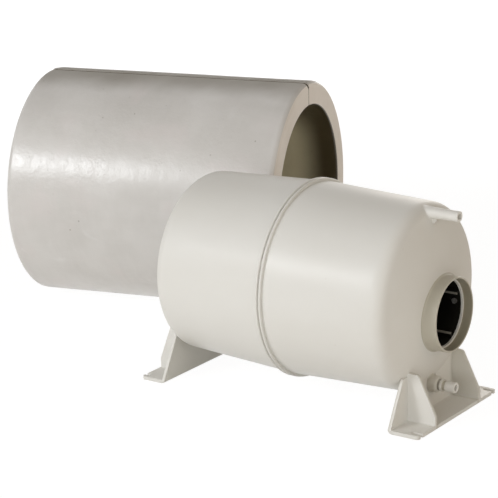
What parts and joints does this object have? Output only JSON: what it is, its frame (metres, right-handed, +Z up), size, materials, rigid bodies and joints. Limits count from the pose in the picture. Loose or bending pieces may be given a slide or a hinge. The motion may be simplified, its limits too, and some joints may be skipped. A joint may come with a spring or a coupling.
{
  "type": "storage water heater",
  "caption": "Round moulded plastic water tank lying on feet, with a finned air duct through it, hose tails on its front end and a slit foam insulating sleeve standing beside it.",
  "frame": {"origin": "on the floor under the middle of the tank's weld seam, midway among the foot notches", "axes": "+X along the tank to its front collar, +Z up, +Y to the side where the sleeve stands"},
  "size_m": [0.6114, 0.4201, 0.244],
  "materials": {
    "white_plastic": "satin",
    "grey_foam": "matte",
    "dark_tube": "matte",
    "rivet_metal": "satin",
    "black_rubber": "matte",
    "grey_rubber": "matte"
  },
  "bodies": {
    "tank": {"front_shell": "white_plastic", "rear_shell": "white_plastic", "seam_weld": "white_plastic", "front_collar": "white_plastic", "rear_collar": "white_plastic", "air_tube": "dark_tube", "tube_rivet": "rivet_metal", "front_tube_seal": "black_rubber", "rear_tube_seal": "black_rubber", "front_tube_ring": "white_plastic", "rear_tube_ring": "white_plastic", "hot_outlet": "white_plastic", "inlet_boss": "white_plastic", "inlet_seal": "grey_rubber", "inlet_fitting": "white_plastic", "inlet_deflector": "white_plastic", "front_foot": "white_plastic", "rear_foot": "white_plastic"},
    "sleeve": {"sleeve_body": "grey_foam"},
    "flap": {"sleeve_flap": "grey_foam"}
  },
  "joints": [
    {"name": "sleeve_lift", "type": "slide", "parent": "tank", "child": "sleeve", "axis": [0, 0, 1], "range_m": [0, 0.26]},
    {"name": "flap_open", "type": "hinge", "parent": "sleeve", "child": "flap", "pos_m": [-0.29537, 0.22167, 0.01143], "axis": [-0.969, -0.247, 0], "range_deg": [0, 50], "stiffness_Nm_per_rad": 0.9, "springref_deg": -25.78}
  ]
}
